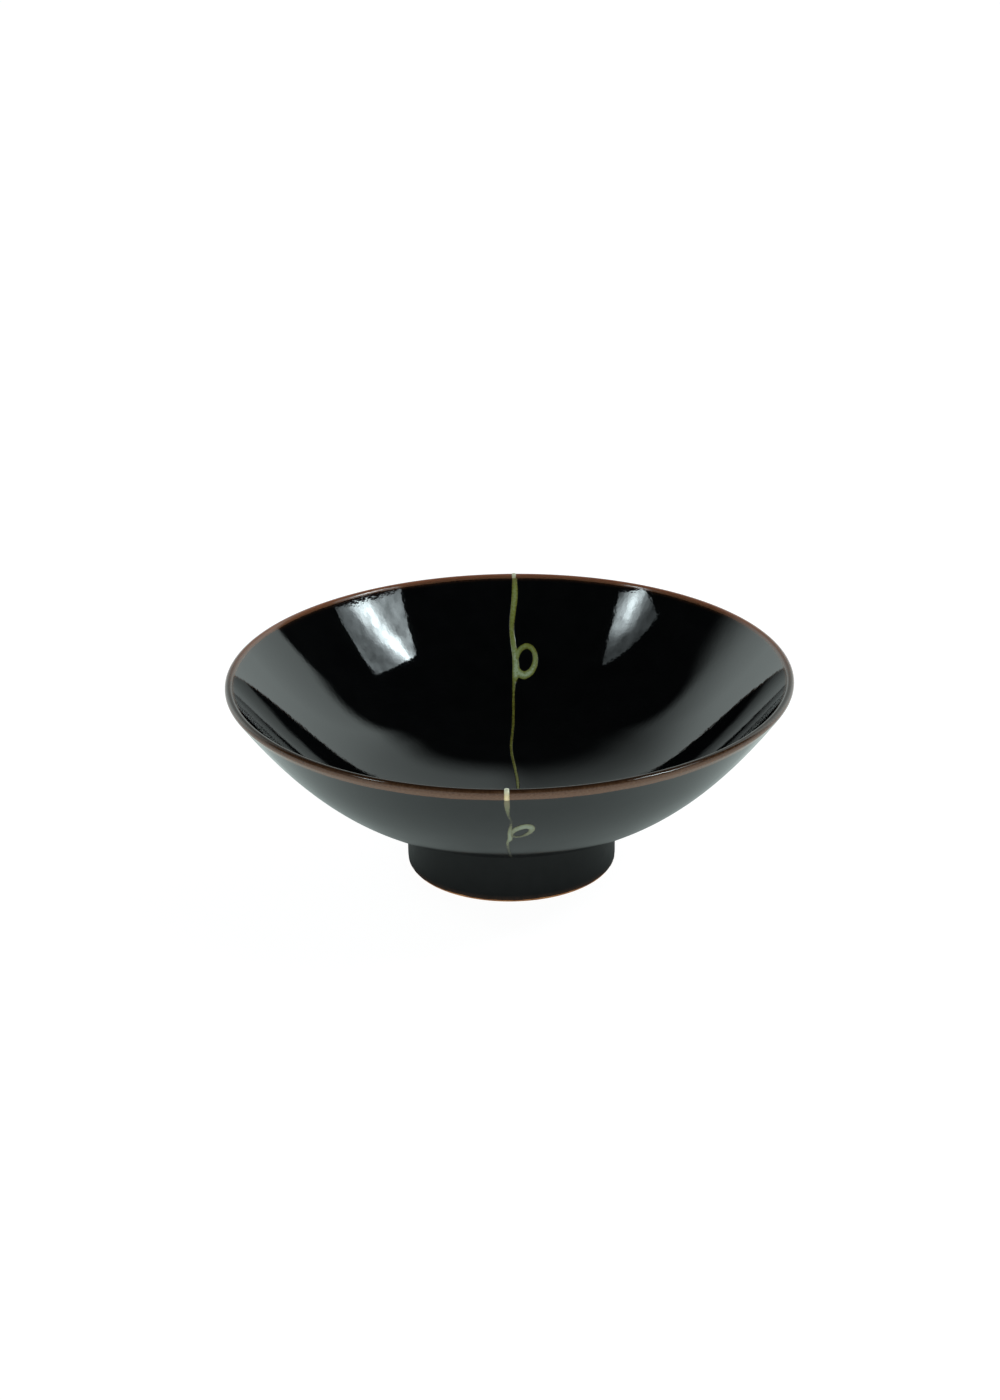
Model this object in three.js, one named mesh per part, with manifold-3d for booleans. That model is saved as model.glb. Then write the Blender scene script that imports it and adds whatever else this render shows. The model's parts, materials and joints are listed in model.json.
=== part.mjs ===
// A footed stoneware bowl with a flaring wall, iron-black glaze, a brown lip and one trailed line.
// Millimetres, +Z up. The origin is the centre of the foot's resting plane.
// The trailed line runs along Y: +Y is the back of the bowl, -Y is the front.
import * as THREE from "three";
import { mergeVertices } from "three/addons/utils/BufferGeometryUtils.js";
import Module from "manifold-3d";

const wasm = await Module();
wasm.setup();

// ---- Driving dimensions ----
const rimRadius = 120; // widest point of the lip
const bowlHeight = 87; // table to the top of the lip
const lipThickness = 3.5; // wall at the lip, which is a full round of this width
const springThickness = 7; // wall where it springs from the foot, thinning evenly to the lip

const footRadius = 45; // outside of the foot
const footHeight = 25; // table to where the wall springs from the foot
const footWidth = 6.5; // from the foot's outside to its recess
const footEdge = 1; // rounding of the foot's two lower edges
const recessDepth = 19; // table to the glazed ceiling inside the foot
const recessCove = 3; // rounding between the recess wall and its ceiling
const floorHeight = 25.5; // table to the middle of the inside

const springSlope = THREE.MathUtils.degToRad(8); // the wall's outside, leaving the foot
const springReach = 26; // how far the outside keeps to that slope
const lipSlope = THREE.MathUtils.degToRad(55.5); // the wall's outside, at the lip
const lipReach = 44; // how far down the outside keeps to that slope
const floorSpan = 0.2; // share of the outside wall, from the foot, that the inside floor spreads over
const floorReach = 20; // how far the inside floor keeps to its slope at either end

const coat = 0.5; // thickness of every fired glaze coat
const bond = 0.1; // clearance between a coat and the clay under it
const luting = 0.2; // clearance between the bowl's underside and the foot ring
const bareFoot = 1.3; // height at the foot's edges that is wiped clean of glaze

const bandOutside = 2; // brown band, down the outside from the round of the lip
const bandInside = 0.7; // brown band, down the inside from the round of the lip
const coatJoint = 0.1; // clearance where one coat meets the next

const trailThickness = 0.3; // the trailed line stands this proud
const trailLift = 0.1; // clearance between the trailed line and the coat under it

// ---- How finely the round shapes are cut ----
const turns = 64;
const outsideSteps = 8;
const insideSteps = 10;
const floorSteps = 4;
const lipSteps = 5;
const edgeSteps = 2;
const coveSteps = 3;
const strokeSteps = 14;
const loopSteps = 20;

// ---- Worked out from the driving dimensions ----
const clayDepth = coat + bond; // the clay lies this far under every finished surface
const lipRound = lipThickness / 2;
const lipCentre = new THREE.Vector2(rimRadius - lipRound, bowlHeight - lipRound);
const undersideHeight = recessDepth + clayDepth; // clay ceiling that the foot ring is luted to
const clayFootRadius = footRadius - clayDepth;
const recessRadius = footRadius - footWidth;
const clayRecessRadius = recessRadius + clayDepth;

// ---- Materials, one for each finish ----
function finish(colour, roughness) {
  return new THREE.MeshStandardMaterial({ color: colour, roughness, metalness: 0 });
}
const clay = finish(0xa9784f, 0.85);
const blackGlaze = finish(0x0b0c0f, 0.08);
const footGlaze = finish(0x14171a, 0.3);
const ironBrown = finish(0x5a3a28, 0.3);
const trailGlaze = finish(0x76825a, 0.15);
const creamGlaze = finish(0xbcb088, 0.15);

// ---- Profiles: points are (distance from the axis, height) ----
const quarter = Math.PI / 2;

function heading(angle) {
  return new THREE.Vector2(Math.cos(angle), Math.sin(angle));
}

function lipPoint(angle, radius) {
  return lipCentre.clone().addScaledVector(heading(angle), radius);
}

// A curve that leaves its start at one slope and arrives at its end at another.
function wallCurve(start, startSlope, startReach, end, endSlope, endReach) {
  const leave = start.clone().addScaledVector(heading(startSlope), startReach);
  const arrive = end.clone().addScaledVector(heading(endSlope), -endReach);
  return new THREE.CubicBezierCurve(start, leave, arrive, end);
}

const outerLipAngle = lipSlope - quarter;
const innerLipAngle = lipSlope + quarter;

const outsideCurve = wallCurve(
  new THREE.Vector2(footRadius, footHeight),
  springSlope,
  springReach,
  lipPoint(outerLipAngle, lipRound),
  lipSlope,
  lipReach,
);

// The inside follows the outside at the wall's thickness, and closes over the foot in a rounded floor.
function insideWall() {
  const points = [];
  for (let i = 0; i <= insideSteps; i += 1) {
    const u = floorSpan + ((1 - floorSpan) * i) / insideSteps;
    const tangent = outsideCurve.getTangentAt(u);
    const side = new THREE.Vector2(-tangent.y, tangent.x);
    const thickness = springThickness + (lipThickness - springThickness) * u;
    points.push(outsideCurve.getPointAt(u).addScaledVector(side, thickness));
  }
  return points;
}

function insideFloor(edge, edgeSlope) {
  const middle = new THREE.Vector2(0, floorHeight);
  const curve = wallCurve(middle, 0, floorReach, edge, edgeSlope, floorReach);
  return curve.getPoints(floorSteps).slice(0, -1);
}

const wallPoints = insideWall();
const wallStart = wallPoints[1].clone().sub(wallPoints[0]).angle();
const insideCurve = new THREE.SplineCurve([...insideFloor(wallPoints[0], wallStart), ...wallPoints]);

// A point on a curve, moved to its left by the given distance (to its right if negative).
// Where the curve meets the axis, its left is straight up.
function pointOn(curve, u, left = 0) {
  const tangent = curve.getTangentAt(u);
  const point = curve.getPointAt(u);
  const onAxis = point.x < 1e-6;
  const side = onAxis ? new THREE.Vector2(0, 1) : new THREE.Vector2(-tangent.y, tangent.x);
  return point.addScaledVector(side, left);
}

// Points along part of a curve. Layers that follow one curve share these places, so they stay parallel.
function stretch(curve, from, to, steps, left = 0) {
  const points = [];
  for (let i = 0; i <= steps; i += 1) {
    points.push(pointOn(curve, from + ((to - from) * i) / steps, left));
  }
  return points;
}

function arc(centre, radius, fromAngle, toAngle, steps) {
  const points = [];
  for (let i = 0; i <= steps; i += 1) {
    const angle = fromAngle + ((toAngle - fromAngle) * i) / steps;
    points.push(centre.clone().addScaledVector(heading(angle), radius));
  }
  return points;
}

// How far along a curve, from 0 to 1, a place lies that is a given length short of its end.
function shortOfEnd(curve, length) {
  return 1 - length / curve.getLength();
}

const outsideTop = shortOfEnd(outsideCurve, bandOutside + coatJoint); // where the black coats stop
const insideTop = shortOfEnd(insideCurve, bandInside + coatJoint);
const bandOuterEdge = shortOfEnd(outsideCurve, bandOutside); // where the brown band stops
const bandInnerEdge = shortOfEnd(insideCurve, bandInside);

// A layer of the outside wall, of the inside wall, or over the lip, at the given depth in the wall.
function outsideLayer(depth) {
  return stretch(outsideCurve, 0, outsideTop, outsideSteps, depth);
}

function insideLayer(depth) {
  return stretch(insideCurve, 0, insideTop, insideSteps, -depth);
}

function lipArc(depth) {
  return arc(lipCentre, lipRound - depth, outerLipAngle, innerLipAngle, lipSteps);
}

function lipLayer(depth) {
  const outer = pointOn(outsideCurve, bandOuterEdge, depth);
  const inner = pointOn(insideCurve, bandInnerEdge, -depth);
  return [outer, ...lipArc(depth), inner];
}

// ---- Solids ----
// A profile that runs up the outside and back down the inside turns into a closed solid.
function turned(profile) {
  const meetsAxis = profile[0].x === 0 && profile.at(-1).x === 0;
  const points = meetsAxis ? profile : [...profile, profile[0].clone()];
  const geometry = new THREE.LatheGeometry(points, turns);
  return geometry.rotateX(quarter);
}

function toSolid(geometry) {
  const bare = geometry.clone().deleteAttribute("normal").deleteAttribute("uv");
  const merged = mergeVertices(bare, 1e-3);
  const mesh = new wasm.Mesh({
    numProp: 3,
    vertProperties: merged.attributes.position.array,
    triVerts: new Uint32Array(merged.index.array),
  });
  return new wasm.Manifold(mesh);
}

function toGeometry(solid) {
  const mesh = solid.getMesh();
  const geometry = new THREE.BufferGeometry();
  geometry.setAttribute("position", new THREE.BufferAttribute(mesh.vertProperties, 3));
  geometry.setIndex(new THREE.BufferAttribute(mesh.triVerts, 1));
  geometry.computeVertexNormals();
  return geometry;
}

// ---- The clay ----
function bowlBody() {
  const outside = outsideLayer(clayDepth);
  return turned([
    new THREE.Vector2(0, undersideHeight),
    new THREE.Vector2(clayFootRadius, undersideHeight),
    new THREE.Vector2(clayFootRadius, outside[0].y),
    ...outside,
    ...lipArc(clayDepth),
    ...insideLayer(clayDepth).reverse(),
  ]);
}

const coveCentre = new THREE.Vector2(recessRadius - recessCove, recessDepth - recessCove);

function footRing() {
  const top = undersideHeight - luting;
  const coveRound = recessCove + clayDepth;
  const topAngle = Math.asin((top - coveCentre.y) / coveRound);
  const cove = arc(coveCentre, coveRound, quarter, 0, coveSteps).filter((point) => point.y < top);
  const outerEdge = new THREE.Vector2(clayFootRadius - footEdge, footEdge);
  const innerEdge = new THREE.Vector2(clayRecessRadius + footEdge, footEdge);
  return turned([
    ...arc(innerEdge, footEdge, 2 * quarter, 3 * quarter, edgeSteps),
    ...arc(outerEdge, footEdge, -quarter, 0, edgeSteps),
    new THREE.Vector2(clayFootRadius, top),
    coveCentre.clone().addScaledVector(heading(topAngle), coveRound),
    ...cove,
  ]);
}

// ---- The glaze coats ----
function insideGlaze() {
  return turned([...insideLayer(coat), ...insideLayer(0).reverse()]);
}

function outsideGlaze() {
  return turned([...outsideLayer(0), ...outsideLayer(coat).reverse()]);
}

function rimBand() {
  return turned([...lipLayer(0), ...lipLayer(coat).reverse()]);
}

function footCoat() {
  const top = footHeight - coatJoint;
  return turned([
    new THREE.Vector2(footRadius - coat, bareFoot),
    new THREE.Vector2(footRadius, bareFoot),
    new THREE.Vector2(footRadius, top),
    new THREE.Vector2(footRadius - coat, top),
  ]);
}

function recessCoat() {
  return turned([
    new THREE.Vector2(0, recessDepth),
    ...arc(coveCentre, recessCove, quarter, 0, coveSteps),
    new THREE.Vector2(recessRadius, bareFoot),
    new THREE.Vector2(recessRadius + coat, bareFoot),
    ...arc(coveCentre, recessCove + coat, 0, quarter, coveSteps),
    new THREE.Vector2(0, recessDepth + coat),
  ]);
}

// ---- The trailed line ----
// Each stretch of the line is drawn in plan, stood up as a prism, and cut out of a thin shell
// that lies just over the coat. A station is [inset from the lip, sideways place, width].
const innerLipRadius = lipPoint(innerLipAngle, lipRound).x;
const outerLipRadius = lipPoint(outerLipAngle, lipRound).x;
const trailTop = trailLift + trailThickness;

const backWallStations = [
  [0.6, 2.8, 1.9],
  [6, 2.9, 3.0],
  [14, 1.4, 2.4],
  [21, 1.9, 2.6],
  [26, 2.8, 3.6],
  [33, 2.9, 3.2],
  [37, 2.2, 1.4],
  [54, 1.3, 1.4],
  [75, 0.6, 1.4],
];
const floorSide = 2.9; // sideways place of the line at the middle of the floor
const floorWidth = 1.5;
const frontWallStations = [
  [75, 1.9, 1.4],
  [40, 0.3, 1.7],
  [12, -1.2, 2.0],
  [0.6, -1.6, 1.7],
];
const frontOutsideStations = [
  [4, -1.5, 2.4],
  [8, -1.2, 1.7],
  [12, -0.1, 1.0],
  [17, -0.4, 1.7],
  [24, -0.7, 2.2],
  [29, -1.2, 1.3],
  [40, -1.3, 1.4],
  [47, -0.2, 1.0],
];
const backOutsideStations = [
  [4, 2.9, 2.2],
  [10, 2.6, 1.6],
  [18, 2.9, 1.2],
  [26, 2.4, 0.8],
];
const insideLoop = {
  inset: 27.2,
  side: 7.1,
  hole: [2.9, 4.3],
  outline: [5.6, 7.0],
  lean: THREE.MathUtils.degToRad(17),
};
const frontLoop = {
  inset: 19.3,
  side: 3.7,
  hole: [1.9, 4.0],
  outline: [4.0, 6.4],
  lean: THREE.MathUtils.degToRad(41),
};

function planPoints(stations, lipRadius, end) {
  return stations.map(([inset, side, width]) => ({
    y: end * (lipRadius - inset),
    side,
    width,
  }));
}

// The outline of a brush stroke whose width changes along it.
function strokeShape(places) {
  const centres = places.map((p) => new THREE.Vector2(p.side, p.y));
  const widths = places.map((p, i) => new THREE.Vector2(i, p.width));
  const line = new THREE.SplineCurve(centres);
  const spread = new THREE.SplineCurve(widths);
  const left = [];
  const right = [];
  const steps = strokeSteps + places.length;
  for (let i = 0; i <= steps; i += 1) {
    const t = i / steps;
    const half = spread.getPoint(t).y / 2;
    const centre = line.getPoint(t);
    left.push(new THREE.Vector2(centre.x - half, centre.y));
    right.push(new THREE.Vector2(centre.x + half, centre.y));
  }
  return new THREE.Shape([...left, ...right.reverse()]);
}

// Each loop leans to the right as it climbs the wall.
function ellipseShape(loop, radii, lipRadius, end) {
  const y = end * (lipRadius - loop.inset);
  const curve = new THREE.EllipseCurve(
    loop.side,
    y,
    radii[0],
    radii[1],
    0,
    2 * Math.PI,
    false,
    -end * loop.lean,
  );
  return new THREE.Shape(curve.getPoints(loopSteps).slice(0, -1));
}

function prism(shape) {
  const height = bowlHeight + 2 * trailTop;
  return toSolid(new THREE.ExtrudeGeometry(shape, { depth: height, bevelEnabled: false }));
}

function loopPrism(loop, lipRadius, end) {
  const outline = prism(ellipseShape(loop, loop.outline, lipRadius, end));
  const hole = prism(ellipseShape(loop, loop.hole, lipRadius, end));
  return { outline, hole };
}

// The stroke with its loop: the loop's hole stays open only beside the stroke.
function withLoop(stroke, loop) {
  return loop.outline.subtract(loop.hole).add(stroke);
}

const insideShell = toSolid(
  turned([...insideLayer(-trailLift), ...insideLayer(-trailTop).reverse()]),
);
const outsideShell = toSolid(
  turned([...outsideLayer(-trailTop), ...outsideLayer(-trailLift).reverse()]),
);
const lipShell = toSolid(
  turned([...lipLayer(-trailTop), ...lipLayer(-trailLift).reverse()]),
);

const back = 1;
const front = -1;

function insideLine() {
  const stroke = prism(
    strokeShape([
      ...planPoints(backWallStations, innerLipRadius, back),
      { y: 0, side: floorSide, width: floorWidth },
      ...planPoints(frontWallStations, innerLipRadius, front),
    ]),
  );
  const loop = loopPrism(insideLoop, innerLipRadius, back);
  return toGeometry(withLoop(stroke, loop).intersect(insideShell));
}

function frontLine() {
  const stroke = prism(strokeShape(planPoints(frontOutsideStations, outerLipRadius, front)));
  const loop = loopPrism(frontLoop, outerLipRadius, front);
  return toGeometry(withLoop(stroke, loop).intersect(outsideShell));
}

function backLine() {
  const stroke = prism(strokeShape(planPoints(backOutsideStations, outerLipRadius, back)));
  return toGeometry(stroke.intersect(outsideShell));
}

// Where the line crosses the lip, it covers the brown band from its inner to its outer edge.
function lipCrossing(side, width, end) {
  const near = innerLipRadius - 2 * lipThickness;
  const far = rimRadius + lipThickness;
  const places = [near, far].map((distance) => ({ y: end * distance, side, width }));
  return toGeometry(prism(strokeShape(places)).intersect(lipShell));
}

const backCrossing = { side: backWallStations[0][1], width: backWallStations[0][2] };
const frontCrossing = { side: frontWallStations.at(-1)[1], width: frontWallStations.at(-1)[2] };

// ---- The assembly ----
const group = new THREE.Group();

function addPart(name, geometry, material) {
  const mesh = new THREE.Mesh(geometry, material);
  mesh.name = name;
  group.add(mesh);
}

addPart("bowl_body", bowlBody(), clay);
addPart("foot_ring", footRing(), clay);
addPart("inside_glaze", insideGlaze(), blackGlaze);
addPart("outside_glaze", outsideGlaze(), blackGlaze);
addPart("foot_glaze", footCoat(), footGlaze);
addPart("recess_glaze", recessCoat(), footGlaze);
addPart("rim_band", rimBand(), ironBrown);
addPart("inside_line", insideLine(), trailGlaze);
addPart("front_line", frontLine(), trailGlaze);
addPart("back_line", backLine(), trailGlaze);
addPart("front_lip_crossing", lipCrossing(frontCrossing.side, frontCrossing.width, front), creamGlaze);
addPart("back_lip_crossing", lipCrossing(backCrossing.side, backCrossing.width, back), creamGlaze);

export default group;
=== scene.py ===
# %% [markdown]
# # A footed bowl in iron-black glaze
# This lesson dresses a stoneware serving bowl. The bowl is thrown on a wheel, its tall foot is stuck on with
# slip, and the glazes are applied in order: black inside and out, brown iron over the lip, and last one line
# trailed straight across the bowl with two small curls in it. Each of these is a piece of its own here.

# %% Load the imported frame
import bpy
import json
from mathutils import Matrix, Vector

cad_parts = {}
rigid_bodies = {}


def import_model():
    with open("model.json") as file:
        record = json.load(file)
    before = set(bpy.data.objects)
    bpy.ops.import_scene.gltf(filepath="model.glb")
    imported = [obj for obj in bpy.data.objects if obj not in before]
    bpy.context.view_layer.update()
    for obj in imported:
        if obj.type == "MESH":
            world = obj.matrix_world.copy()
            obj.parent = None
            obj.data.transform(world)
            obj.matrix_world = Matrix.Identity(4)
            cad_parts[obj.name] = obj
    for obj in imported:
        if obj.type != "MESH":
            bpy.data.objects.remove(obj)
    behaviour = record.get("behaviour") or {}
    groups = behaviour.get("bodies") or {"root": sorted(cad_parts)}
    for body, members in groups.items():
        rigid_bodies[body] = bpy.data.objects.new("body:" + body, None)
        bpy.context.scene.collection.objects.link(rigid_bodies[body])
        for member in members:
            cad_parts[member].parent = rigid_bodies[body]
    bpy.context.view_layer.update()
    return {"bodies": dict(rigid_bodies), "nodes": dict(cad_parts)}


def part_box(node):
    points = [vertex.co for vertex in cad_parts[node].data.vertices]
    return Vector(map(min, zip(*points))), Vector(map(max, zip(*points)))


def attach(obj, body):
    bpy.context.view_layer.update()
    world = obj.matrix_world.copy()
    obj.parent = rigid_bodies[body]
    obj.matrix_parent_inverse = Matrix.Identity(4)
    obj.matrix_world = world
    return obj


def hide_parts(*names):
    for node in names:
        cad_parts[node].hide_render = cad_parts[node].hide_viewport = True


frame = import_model()
print("parts in the frame:", sorted(frame["nodes"]))

# %% Tools and units
import json
import math
import random

import bmesh
import bpy
import numpy as np
from mathutils import Vector

mm = 0.001
SLICES = 256  # how many sections a turned piece has around the axis
BODY = next(iter(frame["bodies"]))
print("everything rides on", BODY)

# %% [markdown]
# ## The bowl's sizes
# These are the same driving sizes that the frame was made from, so every turned piece lands where the frame
# has it. The frame is cut with flat facets, and the lesson turns the same section finely. The check at the
# end of the cell compares the lip and the foot with the frame's own boxes.

# %% Sizes of the section
RIM_RADIUS = 120 * mm
BOWL_HEIGHT = 87 * mm
LIP_THICKNESS = 3.5 * mm
SPRING_THICKNESS = 7 * mm
FOOT_RADIUS = 45 * mm
FOOT_HEIGHT = 25 * mm
FOOT_WIDTH = 6.5 * mm
FOOT_EDGE = 1 * mm
RECESS_DEPTH = 19 * mm
RECESS_COVE = 3 * mm
FLOOR_HEIGHT = 25.5 * mm
SPRING_SLOPE = math.radians(8)
SPRING_REACH = 26 * mm
LIP_SLOPE = math.radians(55.5)
LIP_REACH = 44 * mm
FLOOR_SPAN = 0.2
FLOOR_REACH = 20 * mm
COAT = 0.5 * mm
BOND = 0.1 * mm
LUTING = 0.2 * mm
BARE_FOOT = 1.3 * mm
BAND_OUTSIDE = 2 * mm
BAND_INSIDE = 0.7 * mm

LIP_ROUND = LIP_THICKNESS / 2
LIP_CENTRE = np.array([RIM_RADIUS - LIP_ROUND, BOWL_HEIGHT - LIP_ROUND])
CLAY_DEPTH = COAT + BOND
RECESS_RADIUS = FOOT_RADIUS - FOOT_WIDTH
rim_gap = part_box("rim_band")[1].x - RIM_RADIUS
foot_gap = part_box("foot_glaze")[1].x - FOOT_RADIUS
print(f"lip is {rim_gap / mm:+.3f} mm and foot {foot_gap / mm:+.3f} mm from the frame")

# %% [markdown]
# ## The section's curves
# A potter's profile is a few long, easy curves. The outside wall leaves the foot nearly level and arrives at
# the lip steeply, which one Bezier curve gives from its two slopes. The inside is the same wall moved in by
# the clay's thickness, and it closes over the foot in a rounded floor. A curve is kept as many close points,
# so that any place on it can be found by its length.

# %% Curves of the wall
def heading(angle):
    return np.array([math.cos(angle), math.sin(angle)])


def lip_point(angle, radius):
    return LIP_CENTRE + heading(angle) * radius


def bezier(start, start_slope, start_reach, end, end_slope, end_reach, count):
    leave = start + heading(start_slope) * start_reach
    arrive = end - heading(end_slope) * end_reach
    t = np.linspace(0, 1, count)[:, None]
    s = 1 - t
    return s**3 * start + 3 * s * s * t * leave + 3 * s * t * t * arrive + t**3 * end


class Curve:
    """A line of (radius, height) points that knows its length and which way is square to it."""

    def __init__(self, points):
        along = np.gradient(points, axis=0)
        along /= np.linalg.norm(along, axis=1)[:, None]
        self.points = points
        self.left = np.column_stack([-along[:, 1], along[:, 0]])
        steps = np.linalg.norm(np.diff(points, axis=0), axis=1)
        self.along = np.concatenate([[0], np.cumsum(steps)])
        self.length = self.along[-1]

    def at(self, stops, depth=0.0):
        """Points at these lengths along the line, moved to its left by depth."""
        moved = self.points + self.left * np.asarray(depth)
        return [(float(np.interp(s, self.along, moved[:, 0])), float(np.interp(s, self.along, moved[:, 1])))
                for s in stops]

    def length_at(self, radius):
        return np.interp(radius, self.points[:, 0], self.along)


OUTER_LIP_ANGLE = LIP_SLOPE - math.pi / 2
INNER_LIP_ANGLE = LIP_SLOPE + math.pi / 2
outside = Curve(bezier(
    np.array([FOOT_RADIUS, FOOT_HEIGHT]), SPRING_SLOPE, SPRING_REACH,
    lip_point(OUTER_LIP_ANGLE, LIP_ROUND), LIP_SLOPE, LIP_REACH, 500,
))
thinning = (LIP_THICKNESS - SPRING_THICKNESS) * outside.along / outside.length
inside_wall = outside.points + outside.left * (SPRING_THICKNESS + thinning)[:, None]
inside_wall = inside_wall[outside.along >= FLOOR_SPAN * outside.length]
across, rise = inside_wall[1] - inside_wall[0]
inside_floor = bezier(
    np.array([0, FLOOR_HEIGHT]), 0, FLOOR_REACH, inside_wall[0], math.atan2(rise, across), FLOOR_REACH, 200,
)
inside = Curve(np.vstack([inside_floor[:-1], inside_wall]))
print(f"outside wall {outside.length / mm:.1f} mm, inside {inside.length / mm:.1f} mm")

# %% Arcs
def arc(centre, radius, start, end, steps):
    angles = np.linspace(start, end, steps + 1)
    return [tuple(np.array(centre) + heading(a) * radius) for a in angles]


# %% [markdown]
# ## Turning a section on the wheel
# Blender's Screw or Spin tools turn one fixed outline. Here the section may change a little with the angle,
# because the brown band was brushed on by hand while the bowl turned and its edge wavers. So a function
# gives the outline at each angle, and the outlines are joined into one closed skin.

# %% Turn a piece
def make_object(name, bm, smooth_angle=35):
    bmesh.ops.remove_doubles(bm, verts=bm.verts, dist=1e-7)
    bmesh.ops.recalc_face_normals(bm, faces=bm.faces)
    mesh = bpy.data.meshes.new(name)
    bm.to_mesh(mesh)
    bm.free()
    for face in mesh.polygons:
        face.use_smooth = True
    mesh.set_sharp_from_angle(angle=math.radians(smooth_angle))
    piece = bpy.data.objects.new(name, mesh)
    bpy.context.scene.collection.objects.link(piece)
    return piece


def turned(name, section):
    """section(angle) is the closed outline at that angle, as (radius, height) points."""
    bm = bmesh.new()
    columns = []
    for k in range(SLICES):
        angle = 2 * math.pi * k / SLICES
        turn = (math.cos(angle), math.sin(angle))
        columns.append([bm.verts.new((r * turn[0], r * turn[1], z)) for r, z in section(angle)])
    for k, column in enumerate(columns):
        following = columns[(k + 1) % SLICES]
        for j in range(len(column)):
            i = (j + 1) % len(column)
            if column[j].co.xy.length < 1e-9 and column[i].co.xy.length < 1e-9:
                continue  # both ends of the outline lie on the axis
            bm.faces.new((column[j], following[j], following[i], column[i]))
    return make_object(name, bm)


def dress(piece, node, material):
    piece.data.materials.append(material)
    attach(piece, BODY)
    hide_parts(node)
    size = piece.dimensions
    box = f"{size.x / mm:.1f} x {size.y / mm:.1f} x {size.z / mm:.1f} mm"
    print(f"{piece.name}: {len(piece.data.polygons)} faces, {box}")


# %% [markdown]
# ## How the brushed edges waver
# Two slow waves and two quicker ones, added together, look uneven. The seed is fixed, so the band is the
# same each time.

# %% Wavering edges
def waver(seed, reach, turns=(3, 7, 17, 41)):
    """A smooth function of the angle that stays within about reach of zero."""
    draw = random.Random(seed)
    waves = [(n, draw.uniform(0, 2 * math.pi), draw.uniform(0.5, 1)) for n in turns]
    return lambda angle: reach * sum(a * math.sin(n * angle + p) for n, p, a in waves) / len(waves)


outer_waver = waver(11, 0.4 * mm)
inner_waver = waver(23, 0.35 * mm)


def band_outer(angle):
    return outside.length - BAND_OUTSIDE + outer_waver(angle)


def band_inner(angle):
    return inside.length - BAND_INSIDE + inner_waver(angle)


# %% [markdown]
# ## Building a material from nodes
# The helper below keeps each recipe short. It makes a node, sets its inputs by name, and plugs other nodes
# in.

# %% Node helper
class Recipe:
    """A material whose nodes are added one line at a time."""

    def __init__(self, name, **surface):
        self.material = bpy.data.materials.new(name)
        self.material.use_nodes = True
        self.tree = self.material.node_tree
        self.shader = self.tree.nodes["Principled BSDF"]
        self.set(self.shader, surface)

    def set(self, node, values):
        for key, value in values.items():
            socket = node.inputs[key if isinstance(key, int) else key.replace("_", " ")]
            if isinstance(value, bpy.types.NodeSocket):
                self.tree.links.new(value, socket)
            else:
                socket.default_value = value

    def add(self, kind, settings=None, **values):
        node = self.tree.nodes.new("ShaderNode" + kind)
        for key, value in (settings or {}).items():
            setattr(node, key, value)
        self.set(node, values)
        return node

    def math(self, operation, first, second=0.0, third=0.0):
        node = self.add("Math", {"operation": operation})
        self.set(node, {0: first, 1: second, 2: third})
        return node.outputs[0]

    def remap(self, value, low, high, to_low=0.0, to_high=1.0, kind="LINEAR"):
        """Value carried from the range low..high to to_low..to_high, and held at its ends."""
        node = self.add("MapRange", {"interpolation_type": kind})
        self.set(node, {0: value, 1: low, 2: high, 3: to_low, 4: to_high})
        return node.outputs[0]

    def place(self):
        return self.add("TexCoord").outputs["Object"]

    def axis(self, letter):
        return self.add("SeparateXYZ", Vector=self.place()).outputs[letter]

    def radius(self):
        """How far a point is from the bowl's axis."""
        x, y = self.axis("X"), self.axis("Y")
        return self.math("SQRT", self.math("MULTIPLY_ADD", x, x, self.math("MULTIPLY", y, y)))

    def noise(self, size, detail=2.0, roughness=0.5, vector=None):
        """Noise whose blotches are about size metres across."""
        node = self.add("TexNoise", Scale=1 / size, Detail=detail, Roughness=roughness)
        self.tree.links.new(vector or self.place(), node.inputs["Vector"])
        return node.outputs["Fac"]

    def blend(self, amount, first, second):
        node = self.add("Mix", {"data_type": "RGBA"})
        self.set(node, {0: amount, 6: first, 7: second})
        return node.outputs[2]

    def ramp(self, amount, *stops):
        node = self.add("ValToRGB")
        self.tree.links.new(amount, node.inputs["Fac"])
        elements = node.color_ramp.elements
        while len(elements) < len(stops):
            elements.new(0.5)
        for element, (position, colour) in zip(elements, stops):
            element.position = position
            element.color = colour
        return node.outputs["Color"]

    def attribute(self, name):
        return self.add("Attribute", {"attribute_name": name}).outputs["Fac"]

    def bump(self, height, distance, normal=None):
        node = self.add("Bump", Height=height, Distance=distance, Strength=1.0)
        if normal is not None:
            self.tree.links.new(normal, node.inputs["Normal"])
        return node.outputs["Normal"]


def colour(red, green, blue):
    """A colour given as it looks on a screen, from 0 to 255, turned into light."""
    def light(value):
        value /= 255
        return value / 12.92 if value <= 0.04045 else ((value + 0.055) / 1.055) ** 2.4
    return (light(red), light(green), light(blue), 1.0)


# %% [markdown]
# ## The black glaze
# An iron glaze fired thick comes out black and mirror-bright. Up close it isn't a perfect mirror: it has the
# skin of an orange, very slight, and it ran a little down the wall while it was molten. Both are height, not
# colour, so they go into the bump. Where the glaze thins at the band it lets brown through, and an attribute
# on the mesh says how near the band a point is.

# %% Black glaze, inside and outside
RUN_RADIUS = 90 * mm  # where a step around the bowl counts at its true length


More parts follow.
